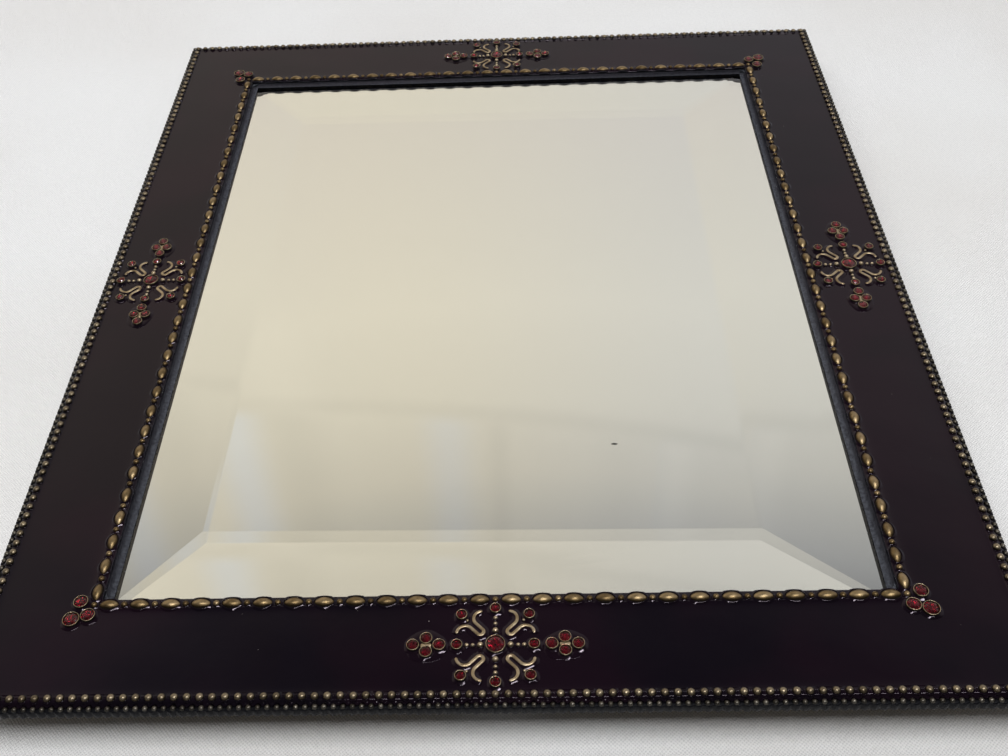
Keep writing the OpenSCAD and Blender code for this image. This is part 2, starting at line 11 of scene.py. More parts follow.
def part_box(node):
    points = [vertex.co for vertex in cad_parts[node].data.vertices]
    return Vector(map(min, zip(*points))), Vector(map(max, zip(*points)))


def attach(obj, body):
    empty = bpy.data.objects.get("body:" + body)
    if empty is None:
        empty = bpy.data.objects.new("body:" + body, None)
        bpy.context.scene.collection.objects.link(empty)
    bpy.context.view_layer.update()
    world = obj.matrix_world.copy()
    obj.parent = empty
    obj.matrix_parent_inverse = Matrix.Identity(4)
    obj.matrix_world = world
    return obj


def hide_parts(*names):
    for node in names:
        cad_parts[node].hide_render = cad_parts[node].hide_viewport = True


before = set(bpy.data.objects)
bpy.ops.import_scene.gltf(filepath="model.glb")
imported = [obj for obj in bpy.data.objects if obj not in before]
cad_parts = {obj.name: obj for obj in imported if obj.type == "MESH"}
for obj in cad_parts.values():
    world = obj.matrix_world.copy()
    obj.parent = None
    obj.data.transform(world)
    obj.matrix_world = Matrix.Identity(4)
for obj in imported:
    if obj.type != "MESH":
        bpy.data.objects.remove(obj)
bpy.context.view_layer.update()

MM = 0.001
rng = random.Random(7)

# How far each side is turned, and each corner's signs
SIDES = {"bottom": 0, "right": 90, "top": 180, "left": 270}
CORNERS = {"ne": (1, 1), "nw": (-1, 1), "sw": (-1, -1), "se": (1, -1)}


def box_mm(node):
    """The lowest and the highest corner of a CAD node, in millimetres."""
    low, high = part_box(node)
    return low / MM, high / MM


def smooth(x, low, high):
    """0 below low, 1 above high, and a smooth step between them."""
    t = np.clip((np.asarray(x, float) - low) / (high - low), 0, 1)
    return t * t * (3 - 2 * t)


class Line:
    """A rectangle that a border follows, read from the border's lower side and its wire's width."""

    def __init__(self, border, wire_w):
        low, high = box_mm(border + "_bottom")
        self.half_w = high.x - wire_w / 2
        self.half_h = wire_w / 2 - high.y

    def span(self, side):
        """The side's length from corner to corner."""
        return 2 * (self.half_w if side in ("bottom", "top") else self.half_h)

    def offset(self, side):
        """How far the side lies from the middle."""
        return self.half_h if side in ("bottom", "top") else self.half_w


def on_side(side, offset):
    """Turns a piece drawn below the middle, with +X along the side, into its place."""
    return Matrix.Rotation(math.radians(SIDES[side]), 4, "Z") @ Matrix.Translation((0, -offset, 0))


# Sizes that the frame doesn't give, in millimetres. A long bead is given by its length and width, and the
# enamel's step down to the glass by its width at the sides and at the top and bottom.
INNER_WIRE_W = 3.6
OUTER_WIRE_W = 2.4
SKIRT_T = 1.6
INNER_PITCH = 7.7
OUTER_PITCH = 2.98
EDGE_PITCH = 2.2
LONG_BEAD = (5.75, 3.15)
ROUND_BEAD_D = 1.7
OUTER_BEAD_D = 2.1
EDGE_BEAD_D = 1.5
REED_STAND = 0.25
EDGE_BEAD_STAND = 0.7
STEP_W = (2.0, 1.0)
# How far below the glass's top the casting's enamel starts, and the enamel's step ends
LIP_BELOW = 1.6
STEP_BELOW = 1.55
# Where the step starts, inwards from the middle of the inner beads
STEP_START = INNER_WIRE_W / 2 - 0.1
# Stations along a border for each reed of the skirt
PER_REED = 8

INNER = Line("inner_beads", INNER_WIRE_W)
OUTER = Line("outer_beads", OUTER_WIRE_W)
EDGE = Line("edge_moulding", SKIRT_T)
TRAY_Z = box_mm("enamel_field")[0].z
ENAMEL_Z = box_mm("enamel_field")[1].z
BEAD_TOP_Z = box_mm("inner_beads_bottom")[1].z
LEDGE_Z = box_mm("outer_beads_bottom")[0].z
SKIRT_Z = box_mm("edge_moulding_bottom")[0].z
SKIRT_TOP_Z = box_mm("edge_moulding_bottom")[1].z - EDGE_BEAD_STAND
GLASS_TOP_Z = box_mm("mirror_glass")[1].z
SET_H = box_mm("ornament_bottom")[1].z - ENAMEL_Z


def new_object(name, data):
    """Makes an object and puts it in the scene."""
    made = bpy.data.objects.new(name, data)
    bpy.context.scene.collection.objects.link(made)
    return made


class Shape:
    """A mesh in the making, in millimetres. Each point's wear value runs from 0, dark with patina and painted
    shade, to 1, rubbed bright.
    """

    def __init__(self):
        self.points, self.wear, self.faces, self.slots, self.count = [], [], [], [], 0

    def add(self, points, faces, wear=0.0, place=None, slot=0):
        points = np.asarray(points, float).reshape(-1, 3)
        if place is not None:
            turn = np.array(place.to_3x3())
            points = points @ turn.T + np.array(place.translation)
        self.points.append(points)
        self.wear.append(np.broadcast_to(np.asarray(wear, float), (len(points),)))
        self.faces.extend(tuple(i + self.count for i in face) for face in faces)
        self.slots.extend([slot] * len(faces) if isinstance(slot, int) else slot)
        self.count += len(points)

    def make(self, name, *materials, smooth_faces=True):
        mesh = bpy.data.meshes.new(name)
        mesh.from_pydata((np.concatenate(self.points) * MM).tolist(), [], self.faces)
        wear = mesh.attributes.new("wear", "FLOAT", "POINT")
        wear.data.foreach_set("value", np.clip(np.concatenate(self.wear), 0, 1).astype(np.float32))
        work = bmesh.new()
        work.from_mesh(mesh)
        bmesh.ops.recalc_face_normals(work, faces=work.faces)
        work.to_mesh(mesh)
        work.free()
        mesh.polygons.foreach_set("use_smooth", [smooth_faces] * len(mesh.polygons))
        for made in materials:
            mesh.materials.append(made)
        mesh.polygons.foreach_set("material_index", self.slots)
        return new_object(name, mesh)


def turned(profile, n):
    """Turns (radius, height) points about the vertical axis. A radius of 0 closes the end."""
    points, rings, faces = [], [], []
    for r, z in profile:
        first = len(points)
        if r < 1e-6:
            points.append((0, 0, z))
            rings.append([first] * n)
        else:
            angles = [2 * math.pi * i / n for i in range(n)]
            points += [(r * math.cos(a), r * math.sin(a), z) for a in angles]
            rings.append(list(range(first, first + n)))
    for low, high in zip(rings, rings[1:]):
        for i in range(n):
            j = (i + 1) % n
            faces.append(tuple(dict.fromkeys((low[i], low[j], high[j], high[i]))))
    return np.array(points, float), faces


def skin(rows, closed_rows=False):
    """Joins equal rows of points, each a closed loop, into one closed skin."""
    rows = np.asarray(rows, float)
    m, n = rows.shape[:2]
    faces = []
    for i in range(m if closed_rows else m - 1):
        below = ((i + 1) % m) * n
        for j in range(n):
            k = (j + 1) % n
            faces.append((i * n + j, i * n + k, below + k, below + j))
    if not closed_rows:
        faces.append(tuple(range(n - 1, -1, -1)))
        faces.append(tuple((m - 1) * n + j for j in range(n)))
    return rows.reshape(-1, 3), faces


def ripple(points, seed, size, amount):
    """A soft wobble, the same each run, for cast and hand-worked surfaces."""
    p = np.asarray(points, float) / size
    wave = np.sin(p[:, 0] * 1.7 + seed) * np.cos(p[:, 1] * 1.3 - 2 * seed)
    wave += np.sin(p[:, 1] * 2.9 + 3 * seed + p[:, 0])
    return amount * wave / 2


def ball(d, n, painted_shade_to=-0.15):
    """A bead of n sides, rubbed bright on its upper part and painted dark, as shade, on its lower part up to
    the given share of its radius.
    """
    angles = np.linspace(-90, 90, 9)
    profile = [(d / 2 * math.cos(math.radians(a)), d / 2 * math.sin(math.radians(a))) for a in angles]
    profile[0], profile[-1] = (0, -d / 2), (0, d / 2)
    points, faces = turned(profile, n)
    return points, faces, smooth(points[:, 2] / (d / 2), painted_shade_to, painted_shade_to + 0.95)


def lens_radius(x):
    """A long bead's radius at x along it: the arc of a circle."""
    half_l, half_w = LONG_BEAD[0] / 2, LONG_BEAD[1] / 2
    arc_r = (half_l ** 2 + half_w ** 2) / (2 * half_w)
    return math.sqrt(max(arc_r ** 2 - x ** 2, 0)) - (arc_r - half_w)


def lens():
    """A long bead: a lens turned about its own length, along X."""
    half_l, half_w = LONG_BEAD[0] / 2, LONG_BEAD[1] / 2
    stations = half_l * np.sin(np.linspace(-90, 90, 17) * math.pi / 180)
    profile = [(lens_radius(x), x) for x in stations]
    profile[0], profile[-1] = (0, -half_l), (0, half_l)
    points, faces = turned(profile, 24)
    points = points[:, [2, 0, 1]]
    # Bright where the bead faces up and dark down its sides and underside: rubbed wear on top, painted shade
    # below.
    upward = points[:, 2] / np.maximum(np.hypot(points[:, 1], points[:, 2]), 0.05)
    return points, faces, smooth(upward, 0.3, 1.05) * smooth(points[:, 2] / half_w, -0.1, 0.6)


def scattered(shape, points, faces, wear, at, turn, scale, gain, place):
    """Adds a bead, a little turned, stretched and worn in its own way."""
    p = points * np.array(scale)
    c, s = math.cos(turn), math.sin(turn)
    p = np.stack([p[:, 0] * c - p[:, 1] * s, p[:, 0] * s + p[:, 1] * c, p[:, 2]], 1) + np.array(at)
    shape.add(p, faces, np.clip(np.asarray(wear) * gain, 0, 1), place)


def mound(half_l, half_w, rise):
    """A low, flat-topped swell of enamel with a rounded edge."""
    shares = [(0, -0.3), (1.0, -0.3), (1.0, -0.08), (0.96, 0.06), (0.9, 0.34), (0.83, 0.66), (0.76, 0.86),
              (0.66, 0.96), (0, 1.0)]
    points, faces = turned([(r, up * rise if up > 0 else up) for r, up in shares], 40)
    angle = np.arctan2(points[:, 1], points[:, 0])
    uneven = 1 + 0.05 * np.sin(2 * angle + rng.uniform(0, 6)) + 0.03 * np.sin(5 * angle)
    points[:, :2] *= uneven[:, None]
    return points * (half_l, half_w, 1), faces


def circle(r, n):
    """n points round a circle, anticlockwise."""
    angles = np.linspace(0, 2 * math.pi, n, endpoint=False)
    return np.stack([r * np.cos(angles), r * np.sin(angles)], 1)


def lens_footprint(sunk):
    """The outline of a long bead where it meets the enamel, sunk below the bead's axis or above it."""
    reach = LONG_BEAD[0] / 2
    while lens_radius(reach) < abs(sunk):
        reach -= 0.01
    angles = np.linspace(0, 2 * math.pi, 32, endpoint=False)
    x = reach * np.cos(angles)
    half_w = np.sqrt(np.maximum([lens_radius(v) ** 2 - sunk ** 2 for v in x], 0))
    y = half_w * np.sign(np.sin(angles)) + 0.12 * np.sin(angles)
    return np.stack([x, y], 1)


# Materials


class Graph:
    """Short calls for a node tree."""

    def __init__(self, tree):
        self.tree = tree

    def add(self, kind, **settings):
        node = self.tree.nodes.new(kind)
        for name, value in settings.items():
            setattr(node, name, value)
        return node

    def put(self, socket, value):
        if isinstance(value, bpy.types.NodeSocket):
            self.tree.links.new(value, socket)
        else:
            socket.default_value = value

    def set(self, name, value):
        """Puts a value on the material's shader."""
        self.put(self.tree.nodes["Principled BSDF"].inputs[name], value)

    def math(self, operation, *values, clamp=False):
        node = self.add("ShaderNodeMath", operation=operation, use_clamp=clamp)
        for socket, value in zip(node.inputs, values):
            self.put(socket, value)
        return node.outputs[0]

    def plus(self, first, *others):
        for other in others:
            first = self.math("ADD", first, other)
        return first

    def times(self, first, *others):
        for other in others:
            first = self.math("MULTIPLY", first, other)
        return first

    def step(self, value, low, high, out_low=0.0, out_high=1.0, kind="SMOOTHSTEP"):
        node = self.add("ShaderNodeMapRange", interpolation_type=kind)
        for socket, v in zip(node.inputs, (value, low, high, out_low, out_high)):
            self.put(socket, v)
        return node.outputs[0]

    def scaled(self, *values):
        return self.step(*values, kind="LINEAR")

    def place(self, stretch=(1, 1, 1)):
        """The point's place in the part's own frame."""
        coords = self.add("ShaderNodeTexCoord").outputs["Object"]
        if stretch == (1, 1, 1):
            return coords
        mapping = self.add("ShaderNodeMapping")
        mapping.inputs["Scale"].default_value = stretch
        self.put(mapping.inputs["Vector"], coords)
        return mapping.outputs[0]

    def xyz(self):
        """The three coordinates of the point's place."""
        node = self.add("ShaderNodeSeparateXYZ")
        self.put(node.inputs[0], self.place())
        return node.outputs

    def noise(self, scale, detail=2.0, roughness=0.5, at=None):
        node = self.add("ShaderNodeTexNoise")
        self.put(node.inputs["Vector"], at if at is not None else self.place())
        for name, value in (("Scale", scale), ("Detail", detail), ("Roughness", roughness)):
            node.inputs[name].default_value = value
        return node.outputs[0]

    def ramp(self, factor, stops):
        node = self.add("ShaderNodeValToRGB")
        elements = node.color_ramp.elements
        elements[0].position, elements[1].position = stops[0][0], stops[-1][0]
        for position, _ in stops[1:-1]:
            elements.new(position)
        for element, (_, colour) in zip(elements, stops):
            element.color = (*colour, 1)
        self.put(node.inputs[0], factor)
        return node.outputs[0]

    def mix(self, factor, a, b, blend="MIX"):
        node = self.add("ShaderNodeMix", data_type="RGBA", blend_type=blend)
        self.put(node.inputs["Factor"], factor)
        for name, value in (("A", a), ("B", b)):
            socket = [s for s in node.inputs if s.name == name and s.type == "RGBA"][0]
            self.put(socket, value if isinstance(value, bpy.types.NodeSocket) else (*value, 1))
        return [s for s in node.outputs if s.type == "RGBA"][0]

    def bump(self, height, strength, distance):
        node = self.add("ShaderNodeBump")
        node.inputs["Strength"].default_value = strength
        node.inputs["Distance"].default_value = distance
        self.put(node.inputs["Height"], height)
        return node.outputs[0]


def material(name, **values):
    """A new material, with the values that are the same all over it, and its graph."""
    made = bpy.data.materials.new(name)
    made.use_nodes = True
    g = Graph(made.node_tree)
    for socket, value in values.items():
        g.set(socket.replace("_", " "), value)
    return made, g


def antique_metal(name, stops, rough, bite=0.35, gloss=0.4):
    """Gilt brass with a dark patina in its hollows and painted shade down the lower sides of its beads and
    wires, rubbed bright on top.

    rough gives the roughness where it is dark and where it is bright, and bite how patchy the wear is.
    """
    made, g = material(name, Specular_IOR_Level=gloss)
    worn_and_shaded = g.add("ShaderNodeAttribute", attribute_name="wear").outputs["Fac"]
    patches = g.math("SUBTRACT", g.noise(620, 3, 0.6), 0.5)
    level = g.math("ADD", worn_and_shaded, g.times(patches, bite), clamp=True)
    g.set("Base Color", g.ramp(level, stops))
    g.set("Metallic", g.step(level, 0.05, 0.4, 0.35, 1.0))
    grain = g.noise(2600, 2)
    shine = g.plus(g.step(level, 0.1, 0.8, *rough), g.scaled(grain, 0.35, 0.65, -0.06, 0.06))
    g.set("Roughness", shine)
    g.set("Normal", g.bump(grain, 0.25, 0.00006))
    return made


def enamel_material(name, gloss):
    """Near-black glossy aubergine enamel, a little dusty, and dull and gritty inside the inner beads, with
    painted shade on that slope next to the beads.
    """
    made, g = material(name, Specular_IOR_Level=gloss, Specular_Tint=(0.92, 0.8, 0.92, 1))
    clouds = g.step(g.noise(26, 2, 0.5), 0.38, 0.66)
    tint = g.mix(clouds, (0.0034, 0.0023, 0.0042), (0.0062, 0.0026, 0.0052))
    dust = g.add("ShaderNodeTexVoronoi")
    g.put(dust.inputs["Vector"], g.place())
    dust.inputs["Scale"].default_value = 150
    chosen = g.add("ShaderNodeSeparateColor")
    g.put(chosen.inputs[0], dust.outputs["Color"])
    size = g.scaled(chosen.outputs[1], 0, 1, 0.008, 0.024)
    near = g.math("LESS_THAN", dust.outputs["Distance"], size)
    speck = g.times(near, g.math("GREATER_THAN", chosen.outputs[0], 0.45))
    inside = [g.math("SUBTRACT", g.math("ABSOLUTE", at), half * MM)
              for at, half in zip(g.xyz(), (INNER.half_w, INNER.half_h))]
    wall_at = -STEP_START * MM
    nearest = g.math("MAXIMUM", *inside)
    wall = g.step(nearest, wall_at, wall_at + 0.15 * MM, 1.0, 0.0)
    film = g.step(g.noise(70, 4, 0.65), 0.35, 0.75, 0.05, 0.13)
    dusty = g.mix(speck, tint, (0.16, 0.14, 0.13))
    grit_and_shade = g.ramp(g.noise(1300, 3, 0.6), [(0.35, (0.014, 0.016, 0.021)), (0.65, (0.065, 0.07, 0.083))])
    # Painted shade: the gritty slope turns near-black towards the inner beads, as if in their shadow.
    grit_and_shade = g.mix(g.step(nearest, wall_at - 1.6 * MM, wall_at, 1.0, 0.15), (0.004, 0.004, 0.006), grit_and_shade)
    g.set("Base Color", g.mix(wall, dusty, grit_and_shade))
    g.set("Roughness", g.scaled(wall, 0, 1, g.plus(film, g.times(speck, 0.5)), 0.55))
    g.set("Normal", g.bump(g.noise(230, 1), 0.06, 0.0002))
    return made


def frame_material():
    """The casting: black enamel in front and round the opening, and antiqued brass behind."""
    made, g = material("cast_frame", Specular_IOR_Level=0.34)
    lip_z = (GLASS_TOP_Z - LIP_BELOW) * MM
    front = g.step(g.xyz()[2], lip_z, lip_z + 0.3 * MM)
    grain = g.noise(420, 4, 0.6)
    brass = g.ramp(grain, [(0.3, (0.028, 0.02, 0.012)), (0.55, (0.11, 0.078, 0.042)),
                           (0.75, (0.2, 0.145, 0.075))])
    dried = g.ramp(g.noise(1500, 3, 0.6), [(0.35, (0.012, 0.013, 0.017)), (0.65, (0.06, 0.065, 0.078))])
    g.set("Base Color", g.mix(front, brass, dried))
    g.set("Metallic", g.math("SUBTRACT", 1.0, front))
    g.set("Roughness", g.scaled(front, 0, 1, g.scaled(grain, 0.3, 0.7, 0.38, 0.6), 0.5))
    g.set("Normal", g.bump(g.noise(900, 3), 0.5, 0.00012))
    return made


def crystal_material():
    """Deep red cut crystal."""
    made, g = material("crystal", IOR=1.5, Roughness=0.11, Transmission_Weight=1.0,
                       Specular_IOR_Level=0.06)
    red = g.ramp(g.noise(700, 1), [(0.35, (0.17, 0.001, 0.007)), (0.65, (0.27, 0.003, 0.016))])
    g.set("Base Color", red)
    return made


def foil_material():
    """The foil on the back of each crystal."""
    made, g = material("foil", Metallic=1.0)
    dull = g.noise(1800, 2)
    silver = g.ramp(dull, [(0.35, (0.55, 0.5, 0.48)), (0.65, (0.85, 0.8, 0.78))])
    g.set("Base Color", silver)
    g.set("Roughness", g.scaled(dull, 0.35, 0.65, 0.42, 0.25))
    return made


def glass_material():
    """Clear float glass with a faint green depth and a little dust."""
    made, g = material("mirror_glass", IOR=1.52, Transmission_Weight=1.0)
    green = g.ramp(g.noise(3, 1), [(0.3, (0.965, 0.98, 0.97)), (0.7, (0.97, 0.98, 0.972))])
    g.set("Base Color", green)
    g.set("Roughness", g.step(g.noise(40, 4, 0.7), 0.62, 0.8, 0.0, 0.02))
    return made


# The spot in the silvering: its place, and half its length and width
SPOT_AT = (33.1, -70.9)
SPOT_HALF = (1.1, 0.45)


def silver_material():
    """The silvering, with one small dark spot where it has flaked."""
    made, g = material("mirror_silvering", Metallic=1.0)
    x, y = [g.math("DIVIDE", g.math("SUBTRACT", at, middle * MM), half * MM)
            for at, middle, half in zip(g.xyz(), SPOT_AT, SPOT_HALF)]
    ragged = g.plus(g.times(x, x), g.times(y, y), g.times(g.noise(1500, 2), 0.8))
    spot = g.step(ragged, 0.9, 1.2, 1.0, 0.0)
    clear = g.ramp(g.noise(5, 2), [(0.3, (0.9, 0.905, 0.895)), (0.7, (0.915, 0.915, 0.905))])
    g.set("Base Color", g.mix(spot, clear, (0.01, 0.01, 0.012)))
    g.set("Roughness", g.step(g.noise(18, 4, 0.7), 0.6, 0.85, 0.012, 0.03))
    return made


def pile_material(name, dark, light, fibre, sheen):
    """A short pile: velvet or felt."""
    made, g = material(name, Sheen_Weight=sheen, Sheen_Roughness=0.45, Specular_IOR_Level=0.2)
    fibres = g.noise(fibre, 3, 0.65)
    nap = g.step(g.noise(28, 2), 0.35, 0.7)
    level = g.plus(g.times(fibres, 0.88), g.times(nap, 0.12))
    g.set("Base Color", g.ramp(level, [(0.3, dark), (0.7, light)]))
    g.set("Roughness", g.scaled(fibres, 0.3, 0.7, 0.85, 1.0))
    g.set("Normal", g.bump(fibres, 0.6, 0.0003))
    return made


def brushed_material(name, dark, light):
    """Stamped sheet metal with a fine grain along X and a few dull patches."""
    made, g = material(name, Metallic=1.0)
    grain = g.noise(700, 3, 0.6, at=g.place((1, 14, 14)))
    dull = g.step(g.noise(160, 3, 0.6), 0.45, 0.75)
    g.set("Base Color", g.mix(dull, g.ramp(grain, [(0.3, dark), (0.7, light)]), dark))
    shine = g.plus(g.scaled(grain, 0.3, 0.7, 0.24, 0.4), g.times(dull, 0.15))
    g.set("Roughness", shine)
    g.set("Normal", g.bump(grain, 0.15, 0.00004))
    return made


def board_material():
    """Brown board, with its chips drawn out along X."""
    made, g = material("board")
    chips = g.noise(900, 4, 0.7, at=g.place((1, 3, 3)))
    g.set("Base Color", g.ramp(chips, [(0.3, (0.09, 0.052, 0.028)), (0.7, (0.2, 0.13, 0.07))]))
    g.set("Roughness", g.scaled(chips, 0.3, 0.7, 0.7, 0.9))
    g.set("Normal", g.bump(chips, 0.4, 0.0002))
    return made


GOLD_STOPS = [(0.0, (0.005, 0.004, 0.004)), (0.3, (0.024, 0.016, 0.01)), (0.55, (0.1, 0.067, 0.032)),
              (0.8, (0.2, 0.14, 0.068)), (1.0, (0.35, 0.26, 0.145))]
DARK_STOPS = [(0.0, (0.004, 0.0035, 0.004)), (0.4, (0.018, 0.014, 0.011)), (0.7, (0.09, 0.068, 0.042)),
              (1.0, (0.3, 0.245, 0.165))]
PALE_STOPS = [(0.0, (0.008, 0.006, 0.005)), (0.3, (0.045, 0.032, 0.02)), (0.55, (0.18, 0.13, 0.075)),
              (0.8, (0.35, 0.265, 0.16)), (1.0, (0.53, 0.43, 0.29))]
SKIRT_STOPS = [(0.0, (0.003, 0.003, 0.0045)), (0.4, (0.012, 0.012, 0.014)), (0.75, (0.07, 0.063, 0.052)),
               (1.0, (0.17, 0.155, 0.13))]
bead_metal = antique_metal("bead_gold", GOLD_STOPS, rough=(0.6, 0.44), bite=0.6)
outer_metal = antique_metal("outer_bead_bronze", DARK_STOPS, rough=(0.5, 0.42))
scroll_metal = antique_metal("scroll_gold", PALE_STOPS, rough=(0.55, 0.4), bite=0.6)
skirt_metal = antique_metal("skirt_patina", SKIRT_STOPS, rough=(0.5, 0.42), gloss=0.12)
enamel = enamel_material("enamel", gloss=0.22)
enamel_fillet = enamel_material("enamel_fillet", gloss=0.2)
crystal = crystal_material()
foil = foil_material()


def kept(made, *nodes):
    """Gives CAD nodes that stay their finished material."""
    for node in nodes:
        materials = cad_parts[node].data.materials
        materials.clear()
        materials.append(made)


def stands_for(piece, slot, *nodes):
    """The piece rides on the frame and takes the place of CAD nodes."""
    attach(piece, "frame")
    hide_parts(*nodes)


# The glass: a plate with a bevel on all four sides, just clear of its silvering

BEVEL_W = 28.6
BEVEL_DROP = 2.0
SILVER_GAP = 0.03
# How far the bevel's inner rectangle is off the glass's middle, and how far it is turned
BEVEL_OFF = (-3.0, -3.0)
BEVEL_TURN = -0.7


def make_glass():
    low, high = box_mm("mirror_glass")
    arris = 0.12
    levels = ((0, low.z + SILVER_GAP), (0, high.z - BEVEL_DROP),
              (BEVEL_W - arris, high.z - arris * BEVEL_DROP / BEVEL_W), (BEVEL_W + arris, high.z))
    rows = []
    for inset, z in levels:
        w, h = high.x - inset, high.y - inset
        share = min(inset / BEVEL_W, 1)
        off = Vector(BEVEL_OFF) * share
        turn = Matrix.Rotation(math.radians(BEVEL_TURN) * share, 2)
        corners = [turn @ Vector(corner) + off for corner in ((-w, -h), (w, -h), (w, h), (-w, h))]
        rows.append([(*corner, z) for corner in corners])
    shape = Shape()
    shape.add(*skin(rows))
    piece = shape.make("bevelled_glass", glass_material(), smooth_faces=False)
    stands_for(piece, "clear_glass", "mirror_glass")


# The enamel: a pool between the two borders, and the fillets that it draws up round what stands in it

POOL_RISE = 0.12
# The rise and reach of the fillet round a setting and round each kind of bead, and its foot's depth
SETTING_FILLET = (0.34, 0.8)
LONG_FILLET = (0.36, 0.6)
ROUND_FILLET = (0.24, 0.45)
OUTER_FILLET = (0.22, 0.26)
ARM_FILLET = (0.24, 0.42)
FILLET_SUNK = 0.02
fillets = Shape()


def add_collar(outline, place, size, limit=np.inf):
    """Adds a fillet round a piece. outline runs anticlockwise in plan, and limit is its highest Y."""
    rise, reach = size
    outline = np.asarray(outline, float)
    along = np.roll(outline, -1, 0) - np.roll(outline, 1, 0)
    along /= np.linalg.norm(along, axis=1)[:, None]
    out = np.stack([along[:, 1], -along[:, 0]], 1)
    around = np.linspace(0, 2 * math.pi, len(outline), endpoint=False)
    phase = rng.uniform(0, 2 * math.pi)
    uneven = 1 + 0.16 * np.sin(2 * around + phase) + 0.08 * np.sin(5 * around - phase)
    shares = [(-0.15, -0.3), (-0.15, 1.0), (0.04, 0.93), (0.18, 0.8), (0.36, 0.62), (0.55, 0.42),
              (0.73, 0.22), (0.88, 0.06), (1.02, -0.08), (1.02, -0.3)]
    rows = []
    for across, up in shares:
        flat = outline + out * (reach * across * np.where(across > 0, uneven, 1))[:, None]
        flat[:, 1] = np.minimum(flat[:, 1], limit - 0.02 * (1.1 - across))
        z = up * rise if up > 0 else up
        rows.append(np.column_stack([flat, np.full(len(flat), z)]))
    fillets.add(*skin(rows, closed_rows=True), place=place)


def on_enamel(place, x, y=0):
    """The place of a fillet's foot on a border."""
    return place @ Matrix.Translation((x, y, ENAMEL_Z - FILLET_SUNK))


def pool_lines(inner, outer):
    """Grid lines across one band, closer together beside the borders."""
    width = outer - inner
    near = [0, 0.25, 0.55, 0.95, 1.5, 2.3, 3.4]
    middle = list(np.arange(5, width - 4, 2.2))
    return [inner + v for v in near + middle + [width - v for v in reversed(near)]]


def make_pool():
    """A ring of squares with a top and a bottom, its edges hidden in the borders' wires."""
    under_inner, under_outer = 0.9, 0.2
    inner = (INNER.half_w + under_inner, INNER.half_h + under_inner)
    outer = (OUTER.half_w - under_outer, OUTER.half_h - under_outer)
    axes = []
    for i in (0, 1):
        band = pool_lines(inner[i], outer[i])
        n = round(2 * inner[i] / 3)
        middle = list(np.linspace(-inner[i], inner[i], n + 1))[1:-1]
        axes.append(np.array([-v for v in reversed(band)] + middle + band))
    x, y = np.meshgrid(*axes, indexing="ij")
    from_inner = np.maximum(np.abs(x) - inner[0], np.abs(y) - inner[1])
    from_outer = np.minimum(outer[0] - np.abs(x), outer[1] - np.abs(y))
    z = ENAMEL_Z + POOL_RISE * (np.exp(-from_inner / 0.7) + np.exp(-from_outer / 0.7)) - 0.05
    flat = np.stack([x.ravel(), y.ravel()], 1)
    z += ripple(flat, 1.7, 9.0, 0.02).reshape(z.shape)
    shape = Shape()
    cols, rows = x.shape
    mid_x, mid_y = [(axis[1:] + axis[:-1]) / 2 for axis in axes]
    solid = (np.abs(mid_x) > inner[0])[:, None] | (np.abs(mid_y) > inner[1])[None, :]
    top = np.stack([x, y, z], -1).reshape(-1, 3)
    bottom = np.stack([x, y, np.full_like(z, TRAY_Z)], -1).reshape(-1, 3)
    faces = []
    under = len(top)
    for i in range(cols - 1):
        for j in range(rows - 1):
            if not solid[i, j]:
                continue
            ring = [a * rows + b for a, b in ((i, j), (i + 1, j), (i + 1, j + 1), (i, j + 1))]
            faces.append(tuple(ring))
            faces.append(tuple(under + v for v in reversed(ring)))
            for k, (a, b) in enumerate(((i, j - 1), (i + 1, j), (i, j + 1), (i - 1, j))):
                inside = 0 <= a < cols - 1 and 0 <= b < rows - 1
                if not inside or not solid[a, b]:
                    p, q = ring[k], ring[(k + 1) % 4]
                    faces.append((q, p, under + p, under + q))
    used = sorted(set(v for f in faces for v in f))
    renumber = {v: k for k, v in enumerate(used)}
    every = np.concatenate([top, bottom])
    shape.add(every[used], [tuple(renumber[v] for v in f) for f in faces])
    return shape


# Borders


def wire_rows(line, side, section, stations):
    """A mitred wire along a side, with a row of points at each station from -1 to 1.

    section gives the points (towards the outside, height) at a distance from the side's middle.
    """
    half = line.span(side) / 2
    return [[(share * (half + out), -out, z) for out, z in section(share * half)] for share in stations]


def bead_places(span, pitch):
    """How many equal steps along a side come nearest to the pitch, and their length."""
    n = round(span / pitch)
    return n, span / n


def bead_numbers(side, n):
    """The beads of a row with n steps. The rows at the bottom and the top hold the corner beads."""
    return range(0, n + 1) if side in ("bottom", "top") else range(1, n)


